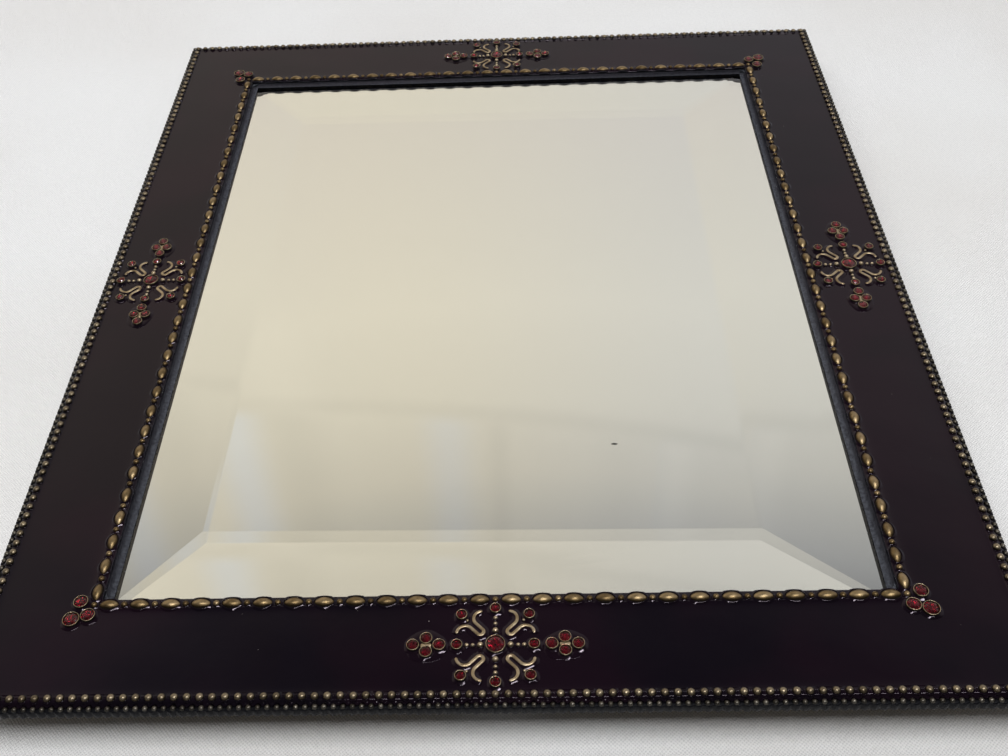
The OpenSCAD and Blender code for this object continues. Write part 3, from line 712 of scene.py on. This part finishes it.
def make_inner_border(side):
    """The base wire, with a long bead in each step and a round bead between the steps."""
    shape = Shape()
    place = on_side(side, INNER.offset(side))
    half = INNER_WIRE_W / 2

    def section(_):
        return [(-half, TRAY_Z), (half, TRAY_Z), (half, ENAMEL_Z - 0.1), (half - 0.25, ENAMEL_Z),
                (0.3, ENAMEL_Z + 0.03), (-0.8, ENAMEL_Z), (0.3 - half, ENAMEL_Z - 0.1),
                (0.05 - half, ENAMEL_Z - 0.35)]

    fillets.add(*skin(wire_rows(INNER, side, section, np.linspace(-1, 1, 30))), 0.0, place)
    n, step = bead_places(INNER.span(side), INNER_PITCH)
    points, faces, wear = lens()
    axis_z = BEAD_TOP_Z - LONG_BEAD[1] / 2
    footprint = lens_footprint(ENAMEL_Z - axis_z)
    for i in range(n):
        x = (i + 0.5 - n / 2) * step + rng.uniform(-0.08, 0.08)
        z = axis_z - rng.uniform(0.0, 0.05)
        turn = math.radians(rng.uniform(-2, 2))
        stretch = (rng.uniform(0.97, 1.02), rng.uniform(0.96, 1.0), 1)
        wobbled = points + np.outer(ripple(points, rng.uniform(0, 6), 0.9, 0.03), (0, 1, 0))
        scattered(shape, wobbled, faces, wear, (x, 0, z), turn, stretch, rng.uniform(0.8, 1.08), place)
        add_collar(footprint, on_enamel(place, x), LONG_FILLET, half)
    points, faces, wear = ball(ROUND_BEAD_D, 14, painted_shade_to=-0.4)
    for i in bead_numbers(side, n):
        size = rng.uniform(0.93, 1.03)
        z = ENAMEL_Z + 0.1 - rng.uniform(0, 0.08)
        x = (i - n / 2) * step + rng.uniform(-0.06, 0.06)
        scattered(shape, points, faces, wear, (x, 0, z), 0, size, rng.uniform(0.55, 0.95), place)
        add_collar(circle(ROUND_BEAD_D / 2 - 0.03, 14), on_enamel(place, x), ROUND_FILLET)
    piece = shape.make(f"inner_border_{side}", bead_metal)
    stands_for(piece, "antique_gold", f"inner_beads_{side}")


def add_step():
    """The enamel's foot: a hollow slope from the inner wires down to the glass."""
    foot = GLASS_TOP_Z - STEP_BELOW
    profile = [(0, ENAMEL_Z - 0.5), (0.2, foot + 1.0), (0.5, foot + 0.45), (1, foot + 0.15), (1, foot),
               (0, foot)]
    rows = []
    for across, z in profile:
        x = INNER.half_w - STEP_START - across * STEP_W[0]
        y = INNER.half_h - STEP_START - across * STEP_W[1]
        rows.append([(-x, -y, z), (x, -y, z), (x, y, z), (-x, y, z)])
    fillets.add(*skin(rows, closed_rows=True))


def make_outer_border(side):
    """The base wire with its row of round beads."""
    shape = Shape()
    place = on_side(side, OUTER.offset(side))
    half = OUTER_WIRE_W / 2
    edge_n, edge_step = bead_places(EDGE.span(side), EDGE_PITCH)
    stretch = 1 + 2 * (half + 0.4) / OUTER.span(side)

    def section(along):
        """The enamel runs down over the wire and ends in scallops between the edge beads."""
        between = 0.5 - 0.5 * math.cos(2 * math.pi * along * stretch / edge_step + (edge_n % 2) * math.pi)
        toe = half + 0.28 + 0.5 * between + 0.08 * math.sin(along * 1.3)
        return [(-half, LEDGE_Z), (half, LEDGE_Z), (half, SKIRT_TOP_Z), (toe, SKIRT_TOP_Z + 0.02),
                (toe - 0.1, SKIRT_TOP_Z + 0.16 + 0.1 * between),
                (half + 0.12, SKIRT_TOP_Z + 0.34 + 0.16 * between), (half - 0.06, ENAMEL_Z - 0.34),
                (half - 0.25, ENAMEL_Z - 0.1), (half - 0.55, ENAMEL_Z + 0.02), (0, ENAMEL_Z),
                (-half, ENAMEL_Z)]

    stations = np.linspace(-1, 1, PER_REED * edge_n + 1)
    fillets.add(*skin(wire_rows(OUTER, side, section, stations)), 0.0, place)
    n, step = bead_places(OUTER.span(side), OUTER_PITCH)
    points, faces, wear = ball(OUTER_BEAD_D, 14)
    z = BEAD_TOP_Z - OUTER_BEAD_D / 2
    sunk = ENAMEL_Z - z
    footprint = circle(math.sqrt((OUTER_BEAD_D / 2) ** 2 - sunk ** 2) - 0.02, 14)
    for i in bead_numbers(side, n):
        size = rng.uniform(0.95, 1.0)
        x = (i - n / 2) * step + rng.uniform(-0.05, 0.05)
        across = rng.uniform(-0.04, 0.04)
        at = (x, across, z - rng.uniform(0, 0.06))
        scattered(shape, points, faces, wear, at, 0, size, rng.uniform(0.8, 1.08), place)
        add_collar(footprint, on_enamel(place, x, across), OUTER_FILLET)
    piece = shape.make(f"outer_border_{side}", outer_metal)
    stands_for(piece, "antique_gold", f"outer_beads_{side}")


def make_edge_border(side):
    """The reeded skirt, with a bead on each reed."""
    shape = Shape()
    place = on_side(side, EDGE.offset(side))
    half = SKIRT_T / 2
    n, step = bead_places(EDGE.span(side), EDGE_PITCH)

    def section(along):
        reed = 0.5 + 0.5 * math.cos(2 * math.pi * along / step + (n % 2) * math.pi)
        stand = REED_STAND * (reed ** 0.6) - 0.1 * (1 - reed)
        foot = 0.08 * (1 - reed) ** 2
        return [(-half, SKIRT_Z), (half - 0.35, SKIRT_Z + foot), (half + stand - 0.06, SKIRT_Z + foot + 0.05),
                (half + stand, SKIRT_Z + foot + 0.25), (half + stand, SKIRT_TOP_Z - 0.3),
                (half + stand - 0.12, SKIRT_TOP_Z - 0.05), (half + stand - 0.4, SKIRT_TOP_Z),
                (-half, SKIRT_TOP_Z)]

    stations = np.linspace(-1, 1, PER_REED * n + 1)
    rows = wire_rows(EDGE, side, section, stations)
    reeds = 0.5 + 0.5 * np.cos(2 * math.pi * stations * EDGE.span(side) / 2 / step + (n % 2) * math.pi)
    low_wear = np.array([0, 0.02, 0.1, 0.2, 0.22, 0.3, 0.1, 0])
    shape.add(*skin(rows), (reeds[:, None] ** 1.5 * low_wear[None, :]).ravel(), place)
    points, faces, wear = ball(EDGE_BEAD_D, 12, painted_shade_to=-0.35)
    out = half + REED_STAND - 0.9
    for i in bead_numbers(side, n):
        size = rng.uniform(0.94, 1.0)
        x = (i - n / 2) * step + rng.uniform(-0.04, 0.04)
        at = (x, -out if 0 < i < n else 0, SKIRT_TOP_Z - rng.uniform(0, 0.05))
        scattered(shape, points, faces, wear, at, 0, size, rng.uniform(0.7, 1.0), place)
    piece = shape.make(f"edge_border_{side}", skirt_metal)
    stands_for(piece, "antique_gold", f"edge_moulding_{side}")


# Ornaments

# Diameters of the settings, their wall, the scrolls' wire and the beads beside the diagonal settings
CENTRE_D = 4.8
SMALL_D = 2.8
FLOWER_D = 3.1
CORNER_D = 3.7
CORNER_BIG_D = 4.2
SET_WALL = 0.23
WIRE_W = 1.05
KNOT_D = 0.8
# Distances from the ornament's middle: small settings along the side, across it and on the diagonals,
# and the flowers. Then a flower's settings from its own middle.
ARM_ALONG = 9.25
ARM_ACROSS = 9.9
ARM_DIAGONAL = 8.2
FLOWER_X = 16.6
FLOWER_LONG = 3.15
FLOWER_SHORT = 1.8
# Beads of an arm: the place as a share of the arm, and the diameter
ARM_BEADS = [(0.39, 1.5), (0.585, 1.0), (0.745, 1.1)]
SMALL_AT = [(ARM_ALONG, 0), (-ARM_ALONG, 0), (0, ARM_ACROSS), (0, -ARM_ACROSS)]
SMALL_AT += [(sx * ARM_DIAGONAL, sy * ARM_DIAGONAL) for sx in (-1, 1) for sy in (-1, 1)]
FLOWER_AT = [(FLOWER_LONG, 0), (-FLOWER_LONG, 0), (0, FLOWER_SHORT), (0, -FLOWER_SHORT)]
# Settings of a corner group: the place from the inner border's corner, and the diameter
CORNER_AT = [((3.3, -0.6), CORNER_D), ((0.6, 3.25), CORNER_D), ((4.5, 4.4), CORNER_BIG_D)]


def add_setting(metal, stones, x, y, d, place):
    """A cup whose thin rim is pressed over the girdle of a cut crystal."""
    r, wall, h = d / 2, SET_WALL, SET_H
    profile = [(0, -0.3), (r - 0.02, -0.3), (r, 0.0), (r, 0.55 * h), (r - 0.02, 0.85 * h),
               (r - 0.07, 0.97 * h), (r - 0.12, h), (r - 0.18, 0.96 * h), (r - wall, 0.84 * h),
               (r - wall, 0.68), (r - wall - 0.04, 0.6), (0, -0.2)]
    n = 32
    points, faces = turned(profile, n)
    angle = np.arctan2(points[:, 1], points[:, 0])
    phase = rng.uniform(0, 6)
    rim = smooth(points[:, 2] / h, 0.75, 1.0)
    points[:, 2] += rim * 0.03 * np.sin(3 * angle + phase) - 0.03 * rim
    points[:, :2] *= (1 + 0.012 * np.sin(2 * angle + phase))[:, None]
    wear = 1.1 * smooth(points[:, 2] / h, 0.6, 1.0) * (0.9 + 0.1 * np.sin(angle * 2 - phase))
    metal.add(points + np.array((x, y, 0)), faces, wear, place)
    add_collar(circle(r - 0.03, n) + np.array((x, y)), place, SETTING_FILLET)
    add_stone(stones, x, y, r - wall - 0.03, place)


def add_stone(stones, x, y, r, place):
    """A cut crystal: table, crown facets (flatter on a large one), girdle, and a foiled point behind."""
    top, girdle = 1.2, 0.72
    crown_drop = 0.52 if r < 1.2 else 0.18
    low = girdle - 0.42 * r
    sides = 8
    spin = rng.uniform(0, math.pi / sides)
    tilt = rng.uniform(-0.03, 0.03)
    points, faces = [], []

    def ring(radius, z, turn):
        first = len(points)
        for i in range(sides):
            a = 2 * math.pi * (i + turn) / sides + spin
            points.append((radius * math.cos(a), radius * math.sin(a), z))
        return [first + i for i in range(sides)]

    table = ring(0.57 * r, top, 0)
    crown = ring(0.8 * r, top - crown_drop * (top - girdle), 0.5)
    mains = ring(r, girdle, 0)
    halves = ring(r, girdle, 0.5)
    waist = ring(0.55 * r, girdle + 0.5 * (low - girdle), 0.5)
    points.append((0, 0, low))
    tip = len(points) - 1
    faces.append(tuple(table))
    slots = [0]
    for i in range(sides):
        j = (i + 1) % sides
        front = [(table[i], crown[i], table[j]), (table[j], crown[i], mains[j], crown[j]),
                 (crown[i], mains[i], halves[i]), (crown[i], halves[i], mains[j])]
        back = [(mains[i], waist[i], halves[i]), (halves[i], waist[i], mains[j]),
                (mains[j], waist[i], tip, waist[j])]
        faces += front + back
        slots += [0] * len(front) + [1] * len(back)
    points = np.array(points)
    points[:, 2] += tilt * points[:, 0]
    stones.add(points + np.array((x, y, 0)), faces, 0.0, place, slots)


def scroll_path():
    """The scroll's centre line along the diagonal: half of it, from the bend to the tip of one arm."""
    bend_r, bend_x, arm_end, curl_r, curl_sweep = 0.85, 5.2, 7.5, 2.0, 138
    line = [(bend_x - bend_r * math.cos(a), bend_r * math.sin(a)) for a in np.linspace(0, math.pi / 2, 8)]
    line += [(bend_x + (arm_end - bend_x) * t, bend_r) for t in np.linspace(0, 1, 6)[1:]]
    for a in np.radians(np.linspace(-90, curl_sweep - 90, 22)[1:]):
        line.append((arm_end + curl_r * math.cos(a), bend_r + curl_r + curl_r * math.sin(a)))
    return np.array(line)


def sweep_rows(line, widths, section):
    """Rows of points that carry a section (across, as a share of the width, and height) along a line."""
    ahead = np.gradient(line, axis=0)
    ahead /= np.linalg.norm(ahead, axis=1)[:, None]
    side = np.stack([ahead[:, 1], -ahead[:, 0]], 1)
    return np.array([[(*(p + s * across * w), up) for across, up in section]
                     for p, s, w in zip(line, side, widths)])


def make_scroll_wire(metal, place):
    """A half-round wire that gets thinner towards its tips, with the enamel's fillet beside it."""
    half = scroll_path()
    line = np.concatenate([half[::-1] * (1, -1), half[1:]])
    share = np.abs(np.linspace(-1, 1, len(line)))
    width = WIRE_W * (1.06 - 0.16 * share) * smooth(share, 1.02, 0.97)
    width = np.maximum(width, 0.15)
    angles = np.radians(np.linspace(0, 180, 9))
    arc = [(0.5 * math.cos(a), 0.12 + 0.42 * math.sin(a)) for a in angles]
    rows = sweep_rows(line, width, [(0.5, -0.3)] + arc + [(-0.5, -0.3)])
    uneven = 0.96 + 0.05 * np.sin(share * 9 + rng.uniform(0, 6)) - 0.25 * smooth(share, 0.93, 1.0)
    rows[:, 1:-1, 2] *= uneven[:, None]
    # Bright along the wire's crown and dark down its sides: rubbed wear on top, painted shade on the sides.
    worn_and_shaded = np.array([0] + [smooth(math.sin(a), 0.15, 0.85) for a in angles] + [0])
    wear = worn_and_shaded[None, :] * (0.9 + 0.1 * np.sin(share * 14 + rng.uniform(0, 6)))[:, None]
    metal.add(*skin(rows), wear.ravel(), place)
    fillet = [(-1.4, -0.3), (-1.4, -0.08), (-1.2, 0.04), (-0.95, 0.15), (-0.68, 0.26), (-0.45, 0.34),
              (0.45, 0.34), (0.68, 0.26), (0.95, 0.15), (1.2, 0.04), (1.4, -0.08), (1.4, -0.3)]
    width = np.maximum(width, 0.5)
    fillets.add(*skin(sweep_rows(line, width, fillet)), 0.0, place)


def make_ornament(side):
    """The settings, flowers, beads and scrolls in the middle of a side."""
    metal, stones = Shape(), Shape()
    offset = (INNER.offset(side) + OUTER.offset(side)) / 2
    place = on_side(side, offset) @ Matrix.Translation((0, 0, ENAMEL_Z))
    add_setting(metal, stones, 0, 0, CENTRE_D, place)
    for x, y in SMALL_AT:
        add_setting(metal, stones, x, y, SMALL_D, place)
    for sx in (-1, 1):
        for x, y in FLOWER_AT:
            add_setting(metal, stones, sx * FLOWER_X + x, y, FLOWER_D, place)
        points, faces = turned([(0, -0.3), (1.5, -0.3), (1.5, 0.4), (1.2, 0.62), (0.6, 0.7), (0, 0.72)], 20)
        web = points * (1, 0.6, 1) + np.array((sx * FLOWER_X, 0, 0))
        metal.add(web, faces, smooth(points[:, 2], 0.3, 0.7), place)
        points, faces = mound(FLOWER_LONG + FLOWER_D / 2 + 0.7, FLOWER_SHORT + FLOWER_D / 2 + 0.95, 0.16)
        fillets.add(points + np.array((sx * FLOWER_X, 0, 0)), faces, 0.0, place)
    for turn in range(4):
        reach = ARM_ALONG if turn % 2 == 0 else ARM_ACROSS
        arm = place @ Matrix.Rotation(turn * math.pi / 2, 4, "Z")
        for share, d in ARM_BEADS:
            points, faces, wear = ball(d, 14, painted_shade_to=-0.5)
            metal.add(points, faces, wear, arm @ Matrix.Translation((share * reach, 0, 0.28 * d)))
            foot = arm @ Matrix.Translation((share * reach, 0, -FILLET_SUNK))
            add_collar(circle(d / 2 - 0.06, 14), foot, ARM_FILLET)
        diagonal = place @ Matrix.Rotation(math.radians(45 + 90 * turn), 4, "Z")
        make_scroll_wire(metal, diagonal)
        knot = ARM_DIAGONAL * math.sqrt(2) - SMALL_D / 2 - 0.55
        points, faces, wear = ball(KNOT_D, 12)
        metal.add(points, faces, wear, diagonal @ Matrix.Translation((knot, 0, 0.1)))
    piece = metal.make(f"ornament_metal_{side}", scroll_metal)
    stands_for(piece, "antique_gold", f"ornament_{side}")
    piece = stones.make(f"stones_{side}", crystal, foil, smooth_faces=False)
    stands_for(piece, "crystal", f"crystals_{side}")


def make_corner(name):
    metal, stones = Shape(), Shape()
    sx, sy = CORNERS[name]
    place = Matrix.Translation((sx * INNER.half_w, sy * INNER.half_h, ENAMEL_Z))
    for (x, y), d in CORNER_AT:
        add_setting(metal, stones, sx * x, sy * y, d, place)
    piece = metal.make(f"corner_metal_{name}", scroll_metal)
    stands_for(piece, "antique_gold", f"corner_setting_{name}")
    piece = stones.make(f"corner_stones_{name}", crystal, foil, smooth_faces=False)
    stands_for(piece, "crystal", f"corner_crystals_{name}")


make_glass()
for border_side in SIDES:
    make_inner_border(border_side)
    make_outer_border(border_side)
    make_edge_border(border_side)
    make_ornament(border_side)
for corner_name in CORNERS:
    make_corner(corner_name)
pool = make_pool()
add_step()
pool.add(np.concatenate(fillets.points), fillets.faces, slot=1)
stands_for(pool.make("enamel_pool", enamel, enamel_fillet), "enamel", "enamel_field")

# The CAD pieces that stay

buttons = [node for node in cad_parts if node.startswith("turn_button_")]
kept(frame_material(), "frame_casting")
kept(silver_material(), "mirror_silvering")
kept(board_material(), "backing_board")
kept(pile_material("felt", (0.01, 0.01, 0.011), (0.035, 0.035, 0.038), fibre=900, sheen=0.2), "felt_pad")
kept(pile_material("velvet", (0.004, 0.0035, 0.004), (0.02, 0.017, 0.02), fibre=1400, sheen=0.5),
     "board_velvet", "easel_leg")
kept(brushed_material("hardware", (0.2, 0.14, 0.065), (0.55, 0.43, 0.24)),
     "board_hinge_leaf", "leg_hinge_leaf", "board_leaf_rivets", "leg_leaf_rivets", *buttons)
kept(brushed_material("steel", (0.3, 0.29, 0.27), (0.6, 0.58, 0.54)), "turn_button_screws", "hinge_pin")

# Stage, lights and camera

# Half the floor's side and its drop in metres, and its threads' pitch in millimetres
FLOOR_HALF = 4.0
FLOOR_DROP = 0.0001
THREAD_PITCH = 0.47
# What the mirror shows: a hanging cloth's hem, and its folds' bearing, half width and change of light
HEM_Z = 0.74
PALE_FOLDS = [(-0.375, 0.055, 0.085), (-0.1, 0.05, 0.055), (0.2, 0.035, 0.04)]
DARK_FOLDS = [(-0.3, 0.07, 0.09), (-0.035, 0.025, 0.05), (0.12, 0.05, 0.02)]
# The photograph's camera, in millimetres and degrees
CAMERA_AT = (8.2, -286.5, 259.9)
CAMERA_TURN = (47.2, 2.35, 0.65)
SENSOR_W = 36
LENS = 41.68
LENS_SHIFT = (0.0235, -0.061)


def make_floor():
    """A pale woven cloth with painted shade in the hollows between its threads, clear from below, so that the
    part's back shows.
    """
    half = FLOOR_HALF
    corners = [(-half, -half, 0), (half, -half, 0), (half, half, 0), (-half, half, 0)]
    mesh = bpy.data.meshes.new("floor")
    mesh.from_pydata(corners, [], [(0, 1, 2, 3)])
    made, g = material("floor", Roughness=0.9, Specular_IOR_Level=0.1)
    thread = math.pi / (THREAD_PITCH * MM)
    waves = []
    for along in g.xyz()[:2]:
        loose = g.times(g.noise(260, 2), 5.0)
        waves.append(g.math("SINE", g.plus(g.times(along, thread), loose)))
    weave = g.plus(g.times(*waves), g.times(g.noise(900, 2), 1.2))
    cloud = g.mix(g.step(g.noise(6, 3), 0.35, 0.65), (0.71, 0.70, 0.69), (0.755, 0.755, 0.755))
    # Painted shade: the weave's hollows are darker than its threads.
    hollow = g.mix(1.0, cloud, (0.77, 0.77, 0.78), "MULTIPLY")
    g.set("Base Color", g.mix(g.step(weave, -0.6, 0.9), hollow, cloud))
    g.set("Normal", g.bump(weave, 0.4, 0.0003))
    see_through = g.add("ShaderNodeBsdfTransparent")
    choose = g.add("ShaderNodeMixShader")
    g.put(choose.inputs[0], g.add("ShaderNodeNewGeometry").outputs["Backfacing"])
    g.put(choose.inputs[1], made.node_tree.nodes["Principled BSDF"].outputs[0])
    g.put(choose.inputs[2], see_through.outputs[0])
    g.put(made.node_tree.nodes["Material Output"].inputs["Surface"], choose.outputs[0])
    mesh.materials.append(made)
    floor = new_object("floor", mesh)
    floor.location.z = -FLOOR_DROP
    floor.visible_diffuse = False
    floor.visible_shadow = False


def make_world():
    """Soft even light, and for the mirror a pale cream room with a hanging cloth above.

    z is the height of the direction looked in, and bearing its turn to the right of straight back.
    """
    world = bpy.data.worlds.new("studio")
    world.use_nodes = True
    bpy.context.scene.world = world
    g = Graph(world.node_tree)
    background = world.node_tree.nodes["Background"]
    parts = g.add("ShaderNodeSeparateXYZ")
    g.put(parts.inputs[0], g.add("ShaderNodeTexCoord").outputs["Generated"])
    x, y, z = parts.outputs
    room = g.ramp(z, [(0.0, (0.6, 0.58, 0.57)), (0.45, (0.74, 0.68, 0.6)), (0.53, (0.78, 0.7, 0.6)),
                      (0.67, (0.84, 0.76, 0.62)), (0.73, (0.76, 0.69, 0.56)), (0.77, (0.64, 0.58, 0.475)),
                      (0.81, (0.42, 0.395, 0.35)), (0.84, (0.2, 0.185, 0.18)), (0.87, (0.1, 0.095, 0.1)),
                      (1.0, (0.07, 0.07, 0.08))])
    bearing = g.math("DIVIDE", x, g.math("MAXIMUM", y, 0.05))

    def fold(at, width, amount):
        away = g.math("ABSOLUTE", g.math("SUBTRACT", bearing, at))
        return g.step(away, 0.0, width, amount, 0.0)

    # The cloth's hem bends, and its folds run up from the hem
    bent = g.plus(g.times(bearing, 0.05), g.times(bearing, bearing, -0.1))
    above = g.math("SUBTRACT", z, g.plus(bent, HEM_Z))
    hem = g.step(g.math("ABSOLUTE", above), 0.0, 0.008, 0.05, 0.0)
    cloth = g.step(above, 0.0, 0.01)
    pale = g.plus(*[fold(*values) for values in PALE_FOLDS])
    dark = g.plus(*[fold(*values) for values in DARK_FOLDS])
    far_right = g.times(g.step(bearing, 0.05, 0.65), g.step(z, 0.7, 0.8, 0.0, 0.24))
    beside = g.times(g.step(g.math("ABSOLUTE", bearing), 0.38, 0.6), g.step(z, 0.66, 0.74, 0.12, 0.05))
    wedge = g.times(fold(-0.3, 0.07, 0.03), g.step(above, -0.1, 0.0))
    light = g.plus(1.0, g.times(g.math("SUBTRACT", pale, dark), cloth))
    light = g.plus(light, g.math("SUBTRACT", g.plus(beside, wedge), g.plus(hem, far_right)))

    # The right-hand side, the pale folds and the far left are cooler than the rest
    cool_left = g.times(g.step(bearing, -0.42, -0.5), g.step(z, 0.72, 0.8, 0.0, 0.8))
    cool = g.plus(g.step(bearing, -0.2, 0.3, 0.0, 1.05), g.times(pale, cloth, 12.0))
    cool = g.math("ADD", cool, cool_left, clamp=True)
    room = g.mix(cool, room, g.mix(1.0, room, (0.9, 0.95, 1.08), "MULTIPLY"))
    gain = g.add("ShaderNodeVectorMath", operation="SCALE")
    g.put(gain.inputs[0], room)
    g.put(gain.inputs["Scale"], light)

    # Reflections see the room behind, something dark in front and something pale below
    behind = g.step(y, -0.15, 0.25)
    below = g.step(z, -0.3, -0.02, 1.0, 0.0)
    seen = g.mix(behind, (0.07, 0.072, 0.08), gain.outputs[0])
    seen = g.mix(below, seen, (0.5, 0.5, 0.52))

    # The fill light is weak above and full below, where only the part's back takes it
    fill = g.mix(g.step(y, -0.6, 0.6), (0.1, 0.1, 0.1), (0.2, 0.2, 0.2))
    fill = g.mix(below, fill, (1.0, 1.0, 1.0))
    path = g.add("ShaderNodeLightPath")
    mirrored = g.math("MAXIMUM", path.outputs["Is Glossy Ray"], path.outputs["Is Transmission Ray"])
    plain = g.mix(path.outputs["Is Camera Ray"], fill, (0.7, 0.695, 0.69))
    g.put(background.inputs["Color"], g.mix(mirrored, plain, seen))
    background.inputs["Strength"].default_value = 1.0


def add_lamp(name, at, size, power, seen=True, diffuse=True):
    """A lamp aimed at the part. It may show in reflections, and light dull surfaces."""
    light = bpy.data.lights.new(name, "AREA")
    light.shape = "RECTANGLE"
    light.size, light.size_y = size
    light.energy = power
    lamp = new_object(name, light)
    lamp.location = at
    lamp.rotation_euler = (Vector() - Vector(at)).to_track_quat("-Z", "Y").to_euler()
    lamp.visible_glossy = lamp.visible_transmission = seen
    lamp.visible_diffuse = diffuse


def make_camera():
    """The photograph's viewpoint."""
    camera = new_object("camera", bpy.data.cameras.new("camera"))
    camera.location = Vector(CAMERA_AT) * MM
    camera.rotation_euler = [math.radians(a) for a in CAMERA_TURN]
    camera.data.sensor_width, camera.data.lens = SENSOR_W, LENS
    camera.data.shift_x, camera.data.shift_y = LENS_SHIFT
    camera.data.clip_start, camera.data.clip_end = 0.01, 50
    bpy.context.scene.camera = camera


make_floor()
make_world()
add_lamp("overhead", (0.2, -0.42, 1.2), (0.9, 0.08), 11.0, diffuse=False)
add_lamp("soft_top", (0.0, -0.25, 1.4), (1.4, 0.9), 21.0, seen=False)
add_lamp("soft_back", (-0.5, 1.2, 1.1), (1.4, 0.8), 12.0, seen=False)
make_camera()
bpy.context.scene.view_settings.view_transform = "Standard"
